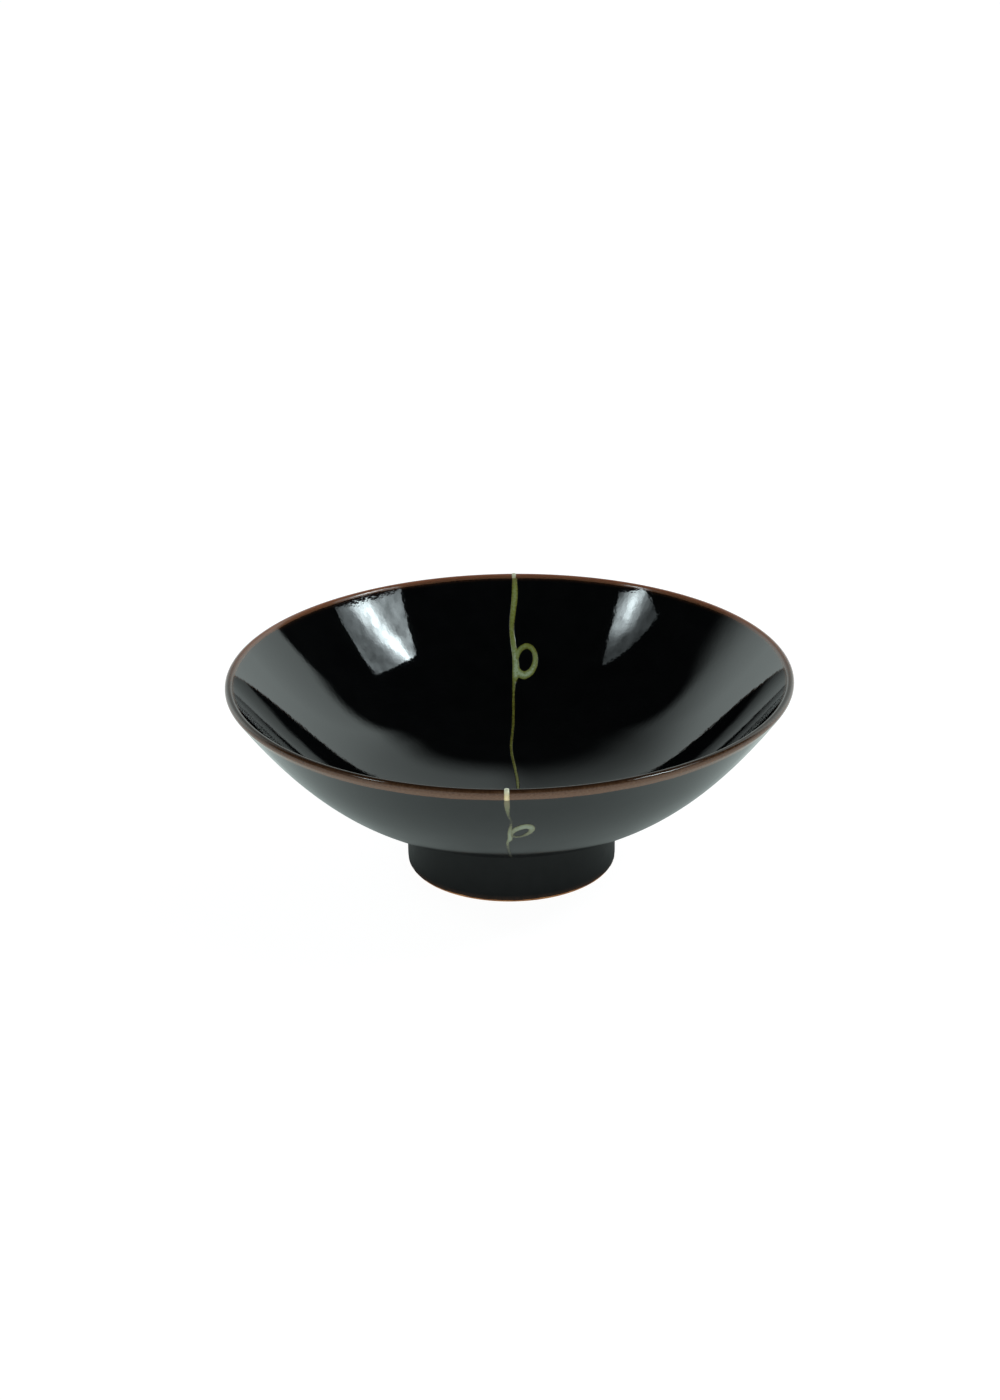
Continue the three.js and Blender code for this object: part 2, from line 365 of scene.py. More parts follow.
def run_place(recipe, squeeze):
    """Coordinates that draw a noise out: down the wall if squeeze is under 1, around it if over 1."""
    angle = recipe.math("ARCTAN2", recipe.axis("Y"), recipe.axis("X"))
    around = recipe.math("MULTIPLY", angle, RUN_RADIUS)
    down = recipe.math("MULTIPLY", recipe.math("ADD", recipe.radius(), recipe.axis("Z")), squeeze)
    joined = recipe.add("CombineXYZ")
    recipe.set(joined, {0: around, 1: down})
    return joined.outputs[0]


def black_glaze(name, specular, roughness, peel):
    recipe = Recipe(name, IOR=1.5, Specular_IOR_Level=specular)
    thin = recipe.attribute("near_band")
    mottle = recipe.noise(9 * mm, detail=3)
    black = recipe.ramp(mottle, (0.35, (0.0016, 0.0018, 0.0022, 1)), (0.7, (0.0032, 0.0034, 0.0038, 1)))
    patchy = recipe.math("MULTIPLY", thin, recipe.noise(1.6 * mm, detail=3))
    broken = recipe.math("MULTIPLY", patchy, 0.9)
    recipe.set(recipe.shader, {"Base Color": recipe.blend(broken, black, colour(84, 50, 30))})
    varied = recipe.remap(recipe.noise(14 * mm), 0.3, 0.7, roughness * 0.8, roughness * 1.3)
    recipe.set(recipe.shader, {"Roughness": varied})
    runs = recipe.bump(recipe.noise(1.5 * mm, detail=2, vector=run_place(recipe, 0.22)), peel * 1.4)
    skin = recipe.bump(recipe.noise(1.3 * mm, detail=1.5), peel, runs)
    swell = recipe.bump(recipe.noise(11 * mm, detail=1), peel * 4, skin)
    recipe.set(recipe.shader, {"Normal": swell})
    return recipe.material


inside_black = black_glaze("black_glaze_inside", specular=0.5, roughness=0.03, peel=0.006 * mm)
outside_black = black_glaze("black_glaze_outside", specular=0.42, roughness=0.14, peel=0.003 * mm)
print("black glaze ready")

# %% [markdown]
# ## The glaze coats
# Each coat is a closed skin half a millimetre thick that follows its curve. Its outline runs along the
# finished surface and comes back along the clay side. Stops are closer together near the band, where the
# glaze thins.

# %% Inside and outside coats
COAT_STEPS = 72


def coat_section(curve, top, towards_clay):
    """The outline of a coat from the start of its curve up to the brown band."""
    def section(angle):
        stops = top(angle) * np.sin(np.linspace(0, math.pi / 2, COAT_STEPS + 1))
        finished = curve.at(stops)
        hidden = curve.at(stops, towards_clay * COAT)
        return finished + hidden[::-1]
    return section


def mark_near_band(piece, curve, top, reach):
    """Writes how near each point is to the brown band: 1 at its edge, 0 at reach and beyond."""
    near = piece.data.attributes.new("near_band", "FLOAT", "POINT")
    for index, vertex in enumerate(piece.data.vertices):
        angle = math.atan2(vertex.co.y, vertex.co.x)
        gap = top(angle) - curve.length_at(vertex.co.xy.length)
        near.data[index].value = max(0.0, 1 - gap / reach) ** 2


inside_glaze = turned("inside_glaze_coat", coat_section(inside, band_inner, -1))
mark_near_band(inside_glaze, inside, band_inner, 1.6 * mm)
dress(inside_glaze, "inside_glaze", inside_black)

outside_glaze = turned("outside_glaze_coat", coat_section(outside, band_outer, 1))
mark_near_band(outside_glaze, outside, band_outer, 0.8 * mm)
dress(outside_glaze, "outside_glaze", outside_black)

# %% [markdown]
# ## The brown lip
# A wash of iron brushed over the lip fires brown. On the front of the lip the crown is painted nearly black,
# which is painted shade. Towards the back the crown is painted rust red, which is painted light. The band's
# own edges waver, and the coats end at the same wavering edges, so the finishes meet all the way round.

# %% Brown band over the lip
def over_lip(radius, steps):
    """The lip's round from its outer side over the crown to its inner side."""
    return arc(LIP_CENTRE, radius, OUTER_LIP_ANGLE, INNER_LIP_ANGLE, steps)


def band_section(angle):
    crown = over_lip(LIP_ROUND, 16)
    crown_hidden = over_lip(LIP_ROUND - COAT, 16)
    outer_stops = np.linspace(band_outer(angle), outside.length, 9)[:-1]
    inner_stops = np.linspace(inside.length, band_inner(angle), 4)[1:]
    finished = outside.at(outer_stops) + crown + inside.at(inner_stops)
    hidden = outside.at(outer_stops, COAT) + crown_hidden + inside.at(inner_stops, -COAT)
    return finished + hidden[::-1]


def mark_crown(piece):
    """Writes how high on the lip's round each point is: 1 on the crown, 0 down on the wall."""
    crown = piece.data.attributes.new("crown", "FLOAT", "POINT")
    for index, vertex in enumerate(piece.data.vertices):
        rise = (vertex.co.z - LIP_CENTRE[1]) / LIP_ROUND
        crown.data[index].value = min(1.0, max(0.0, rise))


def iron_brown():
    recipe = Recipe("iron_brown_lip", IOR=1.5, Specular_IOR_Level=0.4)
    streaks = recipe.noise(0.9 * mm, detail=4, roughness=0.6, vector=run_place(recipe, 3.0))
    brushed = recipe.ramp(
        streaks, (0.3, colour(76, 50, 32)), (0.52, colour(98, 70, 50)), (0.75, colour(120, 90, 66)),
    )
    # Painted shade and painted light: the crown is painted nearly black at the front and rust red at the
    # back.
    towards_back = recipe.remap(recipe.axis("Y"), -30 * mm, 60 * mm, kind="SMOOTHSTEP")
    crown = recipe.math("POWER", recipe.attribute("crown"), 1.2)
    painted_front_shade = recipe.math("MULTIPLY", crown, recipe.math("MULTIPLY_ADD", towards_back, -0.85, 0.85))
    brushed_with_painted_shade = recipe.blend(painted_front_shade, brushed, colour(34, 12, 2))
    painted_back_light = recipe.math("MULTIPLY", crown, recipe.math("MULTIPLY", towards_back, 0.8))
    recipe.set(recipe.shader, {"Base Color": recipe.blend(painted_back_light, brushed_with_painted_shade, colour(176, 108, 80))})
    recipe.set(recipe.shader, {"Roughness": recipe.math("MULTIPLY_ADD", streaks, 0.1, 0.03)})
    recipe.set(recipe.shader, {"Normal": recipe.bump(recipe.noise(0.8 * mm, detail=2), 0.006 * mm)})
    return recipe.material


rim_band = turned("rim_band_wash", band_section)
mark_crown(rim_band)
dress(rim_band, "rim_band", iron_brown())

# %% [markdown]
# ## Clay under the glaze
# The body is a coarse sandy clay. It shows only in a narrow ring at the bottom of the foot, wiped clean so
# that the bowl doesn't stick to the kiln shelf. There it has a toasted amber colour and a dry, open skin.

# %% Bare clay
def bare_clay():
    recipe = Recipe("bare_clay", IOR=1.45, Roughness=0.85, Specular_IOR_Level=0.3)
    grain = recipe.noise(0.5 * mm, detail=5, roughness=0.7)
    patches = recipe.noise(7 * mm, detail=2)
    toasted = recipe.ramp(patches, (0.35, colour(142, 96, 58)), (0.65, colour(176, 128, 82)))
    dark_grains = recipe.ramp(grain, (0.33, colour(88, 56, 34)), (0.45, (1, 1, 1, 1)))
    sandy = recipe.add("Mix", {"data_type": "RGBA", "blend_type": "MULTIPLY"})
    recipe.set(sandy, {0: 0.7, 6: toasted, 7: dark_grains})
    recipe.set(recipe.shader, {"Base Color": sandy.outputs[2]})
    recipe.set(recipe.shader, {"Normal": recipe.bump(grain, 0.08 * mm)})
    return recipe.material


clay = bare_clay()


def bowl_section(_angle):
    stops_out = np.linspace(0, outside.length, 41)
    stops_in = np.linspace(inside.length, 0, 61)
    crown = over_lip(LIP_ROUND - CLAY_DEPTH, 12)
    under = RECESS_DEPTH + CLAY_DEPTH
    foot = FOOT_RADIUS - CLAY_DEPTH
    start = outside.at([0], CLAY_DEPTH)[0]
    return ([(0, under), (foot, under), (foot, start[1])] + outside.at(stops_out, CLAY_DEPTH)[:-1]
            + crown + inside.at(stops_in, -CLAY_DEPTH)[1:])


COVE_CENTRE = np.array([RECESS_RADIUS - RECESS_COVE, RECESS_DEPTH - RECESS_COVE])


def foot_section(_angle):
    top = RECESS_DEPTH + CLAY_DEPTH - LUTING
    outer = FOOT_RADIUS - CLAY_DEPTH
    inner = RECESS_RADIUS + CLAY_DEPTH
    cove_round = RECESS_COVE + CLAY_DEPTH
    top_angle = math.asin((top - COVE_CENTRE[1]) / cove_round)
    edge_in = arc((inner + FOOT_EDGE, FOOT_EDGE), FOOT_EDGE, math.pi, 1.5 * math.pi, 8)
    edge_out = arc((outer - FOOT_EDGE, FOOT_EDGE), FOOT_EDGE, -0.5 * math.pi, 0, 8)
    return edge_in + edge_out + [(outer, top)] + arc(COVE_CENTRE, cove_round, top_angle, 0, 8)


dress(turned("bowl_clay", bowl_section), "bowl_body", clay)
dress(turned("foot_ring_clay", foot_section), "foot_ring", clay)

# %% [markdown]
# ## The foot's glaze
# The foot wears the same iron glaze, thinner and drier, so it comes out satin instead of bright. Its lower
# edge was wiped by hand with a sponge and wavers a little.

# %% Glaze on the foot and in its recess
wipe_outer = waver(37, 0.35 * mm)
wipe_inner = waver(41, 0.35 * mm)
WIPED_IN = 0.15 * mm  # how far the coat's lower edge draws back where the sponge took it


def foot_coat_section(angle):
    low = BARE_FOOT + wipe_outer(angle)
    heights = np.linspace(low, FOOT_HEIGHT, 13)
    finished = [(FOOT_RADIUS, z) for z in heights[1:]]
    hidden = [(FOOT_RADIUS - COAT, z) for z in heights]
    return [(FOOT_RADIUS - WIPED_IN, low)] + finished + hidden[::-1]


def recess_section(angle):
    low = BARE_FOOT + wipe_inner(angle)
    across = np.linspace(0, COVE_CENTRE[0], 13)
    quarter = math.pi / 2
    ceiling = [(r, RECESS_DEPTH) for r in across]
    ceiling_hidden = [(r, RECESS_DEPTH + COAT) for r in across]
    finished = ceiling + arc(COVE_CENTRE, RECESS_COVE, quarter, 0, 10)[1:]
    hidden = arc(COVE_CENTRE, RECESS_COVE + COAT, 0, quarter, 10) + ceiling_hidden[-2::-1]
    return finished + [(RECESS_RADIUS, low), (RECESS_RADIUS + COAT, low)] + hidden


THINNING = 2.2 * mm  # how far above the wiped edge the foot's glaze is still thin


def satin_foot():
    recipe = Recipe("satin_foot_glaze", IOR=1.5, Specular_IOR_Level=0.3)
    mottle = recipe.noise(5 * mm, detail=4, roughness=0.6)
    dark = recipe.ramp(mottle, (0.3, (0.0016, 0.002, 0.0022, 1)), (0.7, (0.0036, 0.0042, 0.0046, 1)))
    low = recipe.remap(recipe.axis("Z"), BARE_FOOT + THINNING, BARE_FOOT, 0.0, 0.6)
    thin = recipe.math("MULTIPLY", low, recipe.noise(1.2 * mm, detail=3))
    recipe.set(recipe.shader, {"Base Color": recipe.blend(thin, dark, colour(92, 56, 30))})
    recipe.set(recipe.shader, {"Roughness": recipe.math("MULTIPLY_ADD", mottle, 0.25, 0.3)})
    rings = recipe.noise(3 * mm, detail=2, vector=run_place(recipe, 1.0))
    recipe.set(recipe.shader, {"Normal": recipe.bump(rings, 0.03 * mm)})
    return recipe.material


satin = satin_foot()
dress(turned("foot_glaze_coat", foot_coat_section), "foot_glaze", satin)
dress(turned("recess_glaze_coat", recess_section), "recess_glaze", satin)

# %% [markdown]
# ## The trailed line
# The potter fills a rubber bulb with ash glaze and draws it across the bowl in one pull: up the outside of
# the back, over the lip, down through the bowl and out over the front, with one curl inside and one outside.
# A bead like this could be a curve with a round bevel, but its width changes and the curls run into the stem.
# So the stroke is described as many round touches of a nozzle, seen from above. Their joined shape is cut
# from a fine grid, laid on the glaze and raised as a low bead. Each place on it also has a strength, which is
# how thick the glaze lies there, and thick glaze is what turns pale.

# %% A stroke as touches of a nozzle
def stroke(*stations, step=0.2 * mm):
    """Touches (along, side, radius, strength) on a smooth line through the stations given."""
    knots = np.array(stations, float)
    knots[:, :3] *= mm
    knots[:, 2] /= 2
    padded = np.vstack([2 * knots[0] - knots[1], knots, 2 * knots[-1] - knots[-2]])
    touches = []
    for a, b, c, d in zip(padded, padded[1:], padded[2:], padded[3:]):
        count = max(2, int(np.hypot(*(c - b)[:2]) / step))
        for t in np.arange(count) / count:
            bend = 2 * b + (c - a) * t + (2 * a - 5 * b + 4 * c - d) * t**2 + (3 * b - a - 3 * c + d) * t**3
            touches.append(bend / 2)
    return np.array(touches)


def ring(along, side, half_along, half_side, lean, widths, strengths, heavy, stops=16):
    """Touches round an ellipse, widest and strongest at the heavy angle. It starts at its along end.

    Angles are in degrees. A negative half_along starts it at the other end.
    """
    tilt = math.radians(lean)
    stations = []
    for k in range(stops + 2):
        angle = 2 * math.pi * k / stops
        up, across = half_along * math.cos(angle), half_side * math.sin(angle)
        share = (1 + math.cos(angle - math.radians(heavy))) / 2
        stations.append((
            along + up * math.cos(tilt) - across * math.sin(tilt),
            side + up * math.sin(tilt) + across * math.cos(tilt),
            widths[0] + (widths[1] - widths[0]) * share,
            strengths[0] + (strengths[1] - strengths[0]) * share,
        ))
    return stroke(*stations)


CELL = 0.2 * mm
NO_TOUCH = 9.0  # what the grid holds where no touch is near
TOUCH_REACH = 1.6  # how many radii from its middle a touch is worked out


def spread(touches, low, high):
    """The grid over a stroke: how many radii each point is from its nearest touch, and its strength."""
    along = np.linspace(low, high, int((high - low) / CELL) + 1)
    margin = touches[:, 2].max() + 3 * CELL
    side = np.arange(touches[:, 1].min() - margin, touches[:, 1].max() + margin, CELL)
    far = np.full((len(along), len(side)), NO_TOUCH)
    strength = np.zeros_like(far)
    for a, s, radius, power in touches:
        reach = TOUCH_REACH * radius
        rows = slice(*np.searchsorted(along, [a - reach, a + reach]))
        columns = slice(*np.searchsorted(side, [s - reach, s + reach]))
        gap = np.hypot(along[rows, None] - a, side[None, columns] - s) / radius
        nearer = gap < far[rows, columns]
        far[rows, columns][nearer] = gap[nearer]
        strength[rows, columns][nearer] = power
    return along, side, far, strength


# %% [markdown]
# ## Cutting the stroke from its grid
# Every grid cell is walked round its four corners. Corners inside the stroke are kept, and where an edge
# leaves the stroke a new point is put on the outline itself, so the outline is smooth and not stepped.

# %% Outline and faces of a stroke
def cut_from_grid(along, side, far, strength):
    """Points (along, side, far, strength) of the stroke's shape, and the faces between them."""
    points, index, faces = [], {}, []

    def values(corner):
        row, column = corner
        return np.array([along[row], side[column], far[corner], strength[corner]])

    def keep(key, point):
        if key not in index:
            index[key] = len(points)
            points.append(point)
        return index[key]

    inside_stroke = far < 1
    near = inside_stroke[:-1, :-1] | inside_stroke[1:, :-1] | inside_stroke[:-1, 1:] | inside_stroke[1:, 1:]
    for i, j in zip(*np.nonzero(near)):
        corners = [(i, j), (i + 1, j), (i + 1, j + 1), (i, j + 1)]
        loop = []
        for first, second in zip(corners, corners[1:] + corners[:1]):
            if inside_stroke[first]:
                loop.append(keep(first, values(first)))
            if inside_stroke[first] != inside_stroke[second]:
                inner, outer = (first, second) if inside_stroke[first] else (second, first)
                share = (1 - far[inner]) / (min(far[outer], 3.0) - far[inner])
                edge = values(inner) + (values(outer) - values(inner)) * share
                loop.append(keep((inner, outer), edge))
        if len(loop) > 2:
            faces.append(loop)
    return np.array(points), faces


# %% [markdown]
# ## Laying the bead on the bowl
# The cut shape is still flat. A laying function puts each of its points on the glaze and says which way is
# up there. The top is raised in a round, and the underside is sunk a little into the glaze under it, as a
# bead is that melted in.

# %% Raise the bead
BEAD = 0.32 * mm  # how high the thickest glaze stands
THIN_SHARE = 0.3  # the share of that height that the thinnest glaze still has
EDGE_LIFT = 0.02 * mm
SUNK = 0.08 * mm


def bead(name, touches, low, high, lay):
    points, faces = cut_from_grid(*spread(touches, low, high))
    along, side, far, strength = points.T
    roundness = np.sqrt(np.clip(1 - far**2, 0, 1))
    pool = strength * roundness
    ground, up = lay(along, side)
    height = EDGE_LIFT + BEAD * (THIN_SHARE + (1 - THIN_SHARE) * strength) * roundness
    top = ground + up * height[:, None]
    under = ground - up * SUNK
    bm = bmesh.new()
    layer = bm.verts.layers.float.new("pool")
    upper = [bm.verts.new(p) for p in top]
    lower = [bm.verts.new(p) for p in under]
    for loop in faces:
        bm.faces.new([upper[k] for k in loop])
    border = [(e.verts[0], e.verts[1]) for e in bm.edges if e.is_boundary]
    bm.verts.index_update()
    for loop in faces:
        bm.faces.new([lower[k] for k in loop[::-1]])
    for a, b in border:
        bm.faces.new([a, b, lower[b.index], lower[a.index]])
    for vertex, depth in zip(upper, pool):
        vertex[layer] = depth
    return make_object(name, bm, smooth_angle=70)


def on_turned(curve, facing):
    """Lays (along, side) on a turned surface; facing is +1 if the curve's left is the open side."""
    def lay(along, side):
        radius = np.hypot(along, side)
        stops = curve.length_at(radius)
        height = np.interp(stops, curve.along, curve.points[:, 1])
        outward = facing * np.interp(stops, curve.along, curve.left[:, 0])
        upward = facing * np.interp(stops, curve.along, curve.left[:, 1])
        safe = np.maximum(radius, 1e-9)
        up = np.column_stack([outward * side / safe, outward * along / safe, upward])
        return np.column_stack([side, along, height]), up
    return lay


# %% [markdown]
# ## The glaze of the line
# The line is a pale ash glaze over black. In its thick middle it is a cloudy celadon green. At its thin
# edges and where the stroke runs dry the iron under it shows through as olive and then brown. The bead wrote
# how thick it is at each point, and the colours follow that. Where it lies on the brown lip it comes out
# cream.

# %% Celadon and cream
def trail_glaze(name, stops, gloss, near_lip, lip_colour):
    """near_lip(recipe) is a share from 0 to 1, where the colour has gone over to lip_colour."""
    recipe = Recipe(name, IOR=1.5, Specular_IOR_Level=0.5)
    clouds = recipe.noise(1.1 * mm, detail=4, roughness=0.65)
    shifted = recipe.math("ADD", recipe.attribute("pool"), recipe.math("MULTIPLY_ADD", clouds, 0.7, -0.35))
    pooled = recipe.ramp(shifted, *stops)
    recipe.set(recipe.shader, {"Base Color": recipe.blend(near_lip(recipe), pooled, lip_colour)})
    recipe.set(recipe.shader, {"Roughness": recipe.math("MULTIPLY_ADD", clouds, 0.12, gloss)})
    recipe.set(recipe.shader, {"Normal": recipe.bump(clouds, 0.01 * mm)})
    return recipe.material


def towards_rim(recipe):
    """0 on the wall, rising where the line nears the brown band."""
    return recipe.remap(recipe.radius(), RIM_RADIUS - 6 * mm, RIM_RADIUS - 1.5 * mm, 0.0, 0.75)


def on_crown(recipe):
    """0 low on the lip, 1 on its highest part."""
    return recipe.remap(recipe.axis("Z"), BOWL_HEIGHT - LIP_ROUND, BOWL_HEIGHT)


celadon = trail_glaze("celadon_line", (
    (0.0, colour(12, 10, 2)),
    (0.12, colour(66, 58, 17)),
    (0.35, colour(122, 117, 46)),
    (0.6, colour(148, 153, 76)),
    (0.85, colour(172, 182, 122)),
    (1.0, colour(208, 220, 176)),
), gloss=0.12, near_lip=towards_rim, lip_colour=colour(150, 134, 98))
# Painted shade: the line outside takes darker colours than the line inside, because the outside wall gets
# less light.
celadon_outside_painted_shade = trail_glaze("celadon_line_outside_painted_shade", (
    (0.0, colour(18, 19, 12)),
    (0.12, colour(44, 44, 28)),
    (0.35, colour(92, 95, 64)),
    (0.6, colour(112, 120, 92)),
    (0.85, colour(126, 138, 118)),
), gloss=0.16, near_lip=towards_rim, lip_colour=colour(118, 108, 80))
cream = trail_glaze("cream_on_lip", (
    (0.0, colour(92, 74, 46)),
    (0.25, colour(158, 142, 100)),
    (0.6, colour(200, 184, 136)),
    (0.95, colour(228, 214, 168)),
), gloss=0.12, near_lip=on_crown, lip_colour=colour(255, 250, 218))

# %% [markdown]
# ## The line inside the bowl
# A station says how far along the bowl's middle it is, how far to the side and how wide, in millimetres, and
# then how strong. The line swells below the lip, thins, swells again where the curl joins, and then runs thin
# down to the floor and up the front. The curl is an ellipse.

# %% Line inside
INNER_EDGE = inside.at([band_inner(math.pi / 2)])[0][0]
INNER_EDGE_FRONT = inside.at([band_inner(-math.pi / 2)])[0][0]
stem = stroke(
    (118, 3, 2, 0.5), (111, 3, 3, 0.75), (102, 1.5, 2.4, 0.6), (96, 2, 2.5, 0.7), (90, 3, 3, 1.0),
    (84, 3, 3.4, 1.0), (79, 2, 1.5, 0.5), (60, 1.5, 1.4, 0.4), (44, 0.5, 1.4, 0.4), (20, 3, 1.5, 0.45),
    (-10, 3, 1.5, 0.4), (-77, 0.5, 1.6, 0.5), (-118, -1.5, 1.8, 0.5),
)
curl = ring(89, 7.5, 5.5, 4.5, lean=17, widths=(2.2, 3.4), strengths=(0.7, 1.0), heavy=180)
whole_stroke = np.vstack([stem, curl])
inside_line = bead("inside_trailed_line", whole_stroke, -INNER_EDGE_FRONT, INNER_EDGE, on_turned(inside, 1))
dress(inside_line, "inside_line", celadon)

# %% [markdown]
# ## The line outside
# On the front it runs dry just under the lip, picks up again into a second, flatter curl, and fades out
# before the foot. On the back it only ran a short way down.

# %% Line outside, front and back
OUTER_EDGE = outside.at([band_outer(-math.pi / 2)])[0][0]
OUTER_EDGE_BACK = outside.at([band_outer(math.pi / 2)])[0][0]
front_stem = stroke(
    (-120, -1.5, 1.8, 0.6), (-116, -1.5, 2.3, 0.5), (-111, -1, 1.3, 0.25), (-108, 0, 1, 0.1),
    (-102, -0.5, 1.9, 0.65), (-97, -0.5, 2.2, 0.75), (-93, -1.5, 1.5, 0.35), (-84, -1, 1.3, 0.12),
    (-73, 0, 1.2, 0.1),
)
front_curl = ring(-101.5, 4, -4.5, 2.7, lean=-58, widths=(1.6, 3), strengths=(0.25, 0.85), heavy=-40)
FRONT_END = -72 * mm
BACK_END = 93.5 * mm
whole_front = np.vstack([front_stem, front_curl])
front_line = bead("front_trailed_line", whole_front, -OUTER_EDGE, FRONT_END, on_turned(outside, -1))
dress(front_line, "front_line", celadon_outside_painted_shade)

back_stem = stroke((119, 3, 2.2, 0.55), (110, 2.5, 1.6, 0.5), (102, 3, 1.2, 0.3), (94, 2.5, 0.9, 0.15))
back_line = bead("back_trailed_line", back_stem, BACK_END, OUTER_EDGE_BACK, on_turned(outside, -1))
dress(back_line, "back_line", celadon_outside_painted_shade)

# %% [markdown]
# ## Where the line crosses the lip
# The lip is a full round, so a point there is found by its length along the band's own outline, from the
# band's outer edge over the crown to its inner edge.

# %% Cream crossings
def crossing(name, side, widths, end):
    """A bead over the lip, side mm off the middle; end is 1 at the back of the bowl and -1 at the front."""
    angle = end * math.pi / 2
    crown = over_lip(LIP_ROUND, 24)
    start = outside.at(np.linspace(band_outer(angle), outside.length, 12)[:-1])
    finish = inside.at(np.linspace(inside.length, band_inner(angle), 4)[1:])
    over = Curve(np.array(start + crown + finish))

    def lay(along, sideways):
        radius = np.interp(along, over.along, over.points[:, 0])
        forward = np.sqrt(radius**2 - sideways**2)
        height = np.interp(along, over.along, over.points[:, 1])
        outward = -np.interp(along, over.along, over.left[:, 0])
        upward = -np.interp(along, over.along, over.left[:, 1])
        up = np.column_stack([outward * sideways / radius, end * outward * forward / radius, upward])
        return np.column_stack([sideways, end * forward, height]), up

    reach = over.length / mm
    start_width, crown_width, end_width = widths
    touches = stroke(
        (-1, side, start_width, 0.8), (0, side, start_width, 0.8), (reach / 2, side, crown_width, 1.0),
        (reach, side, end_width, 0.8), (reach + 1, side, end_width, 0.8),
    )
    return bead(name, touches, 0.0, over.length, lay)


front_crossing = crossing("front_lip_cream", -1.55, (2.4, 2.0, 1.8), -1)
dress(front_crossing, "front_lip_crossing", cream)
back_crossing = crossing("back_lip_cream", 2.8, (2.2, 1.9, 1.9), 1)
dress(back_crossing, "back_lip_crossing", cream)

# %% [markdown]
# ## The table
# A plain white table. It gives light of its own, as bright paper under studio light seems to, so that hardly
# a shadow stays round the foot. From below it is clear, so the bowl's underside can be looked at.

# %% White table
TABLE_RADIUS = 8.0
TABLE_GLOW = 0.96


def disc(name, radius, height=0.0):
    bm = bmesh.new()
    bmesh.ops.create_circle(bm, cap_ends=True, segments=96, radius=radius)
    bmesh.ops.translate(bm, verts=bm.verts, vec=(0, 0, height))
    return make_object(name, bm)


def white_table():
    recipe = Recipe("white_table", Roughness=0.9, Specular_IOR_Level=0.0, Emission_Strength=TABLE_GLOW)
    paper = recipe.noise(0.4, detail=2)
    pale = recipe.ramp(paper, (0.3, (0.19, 0.19, 0.19, 1)), (0.7, (0.21, 0.21, 0.21, 1)))
    recipe.set(recipe.shader, {"Base Color": pale, "Emission Color": (1, 1, 1, 1)})
    from_below = recipe.add("NewGeometry").outputs["Backfacing"]
    clear = recipe.add("BsdfTransparent").outputs[0]
    either = recipe.add("MixShader")
    recipe.set(either, {0: from_below, 1: recipe.shader.outputs[0], 2: clear})
    recipe.set(recipe.tree.nodes["Material Output"], {"Surface": either.outputs[0]})
    return recipe.material


table = disc("table_top", TABLE_RADIUS)
if table.data.polygons[0].normal.z < 0:
    table.data.flip_normals()
table.data.materials.append(white_table())
print(f"table at height 0, {TABLE_RADIUS * 2} m across")

# %% [markdown]
# ## The table's shade, for the mirror only
# A real table is darker close to the foot, where the bowl keeps the light off it, and the glossy underside
# mirrors that. The table here glows evenly, so a thin card carries the shade. The camera and the soft light
# don't see the card, and it casts no shadow, so it shows in reflections only.

# %% Shade card
SHADE_REACH = 300 * mm
SHADE_LIFT = 0.2 * mm


def shade_card():
    recipe = Recipe("table_shade", Roughness=1.0, Specular_IOR_Level=0.0, Emission_Strength=1.0)
    outward = recipe.math("DIVIDE", recipe.radius(), SHADE_REACH)
    patchy = recipe.math("MULTIPLY_ADD", recipe.noise(60 * mm), 0.04, outward)
    shades = [(0.16, 0.08), (0.19, 0.26), (0.26, 0.42), (0.36, 0.5), (0.5, 0.8), (0.95, 1.1)]
    shade = recipe.ramp(patchy, *((stop, (0.86 * value, value, 0.97 * value, 1)) for stop, value in shades))
    recipe.set(recipe.shader, {"Base Color": (0, 0, 0, 1), "Emission Color": shade})
    return recipe.material


card = disc("shade_card", SHADE_REACH, SHADE_LIFT)
card.data.materials.append(shade_card())
card.visible_camera = False
card.visible_diffuse = False
card.visible_shadow = False
print(f"shade card {SHADE_REACH * 2} m across, {SHADE_LIFT / mm:.1f} mm up")

# %% [markdown]
# ## Light that a mirror-black bowl needs
# A black gloss surface shows almost nothing but its surroundings, so lighting it means building what it
# reflects. Directions are given as a bearing from the front of the bowl, positive to the right, and a height
# above the table, both in degrees. Two soft panels stand left and right of the bowl. A broad white sweep
# behind it fills the side walls with an even grey, and the ceiling is dark so that the far wall stays black.

# %% Panels
PANEL_DISTANCE = 6.0
PANEL_TINT = (0.84, 0.97, 1.0, 1)
PANEL_ROWS = 40


def direction(bearing, rise):
    b, r = math.radians(bearing), math.radians(rise)
    return Vector((math.sin(b) * math.cos(r), -math.cos(b) * math.cos(r), math.sin(r)))


def upright_cut(bearing):
    """Which way an upright plane through the axis faces, if it passes through this bearing."""
    b = math.radians(bearing)
    return Vector((math.cos(b), math.sin(b), 0))


def level_cut(bearing, rise):
    """Which way a plane faces that passes through this direction and is level across it."""
    middle = direction(bearing, rise)
    sideways = middle.cross(Vector((0, 0, 1)))
    return middle.cross(sideways)


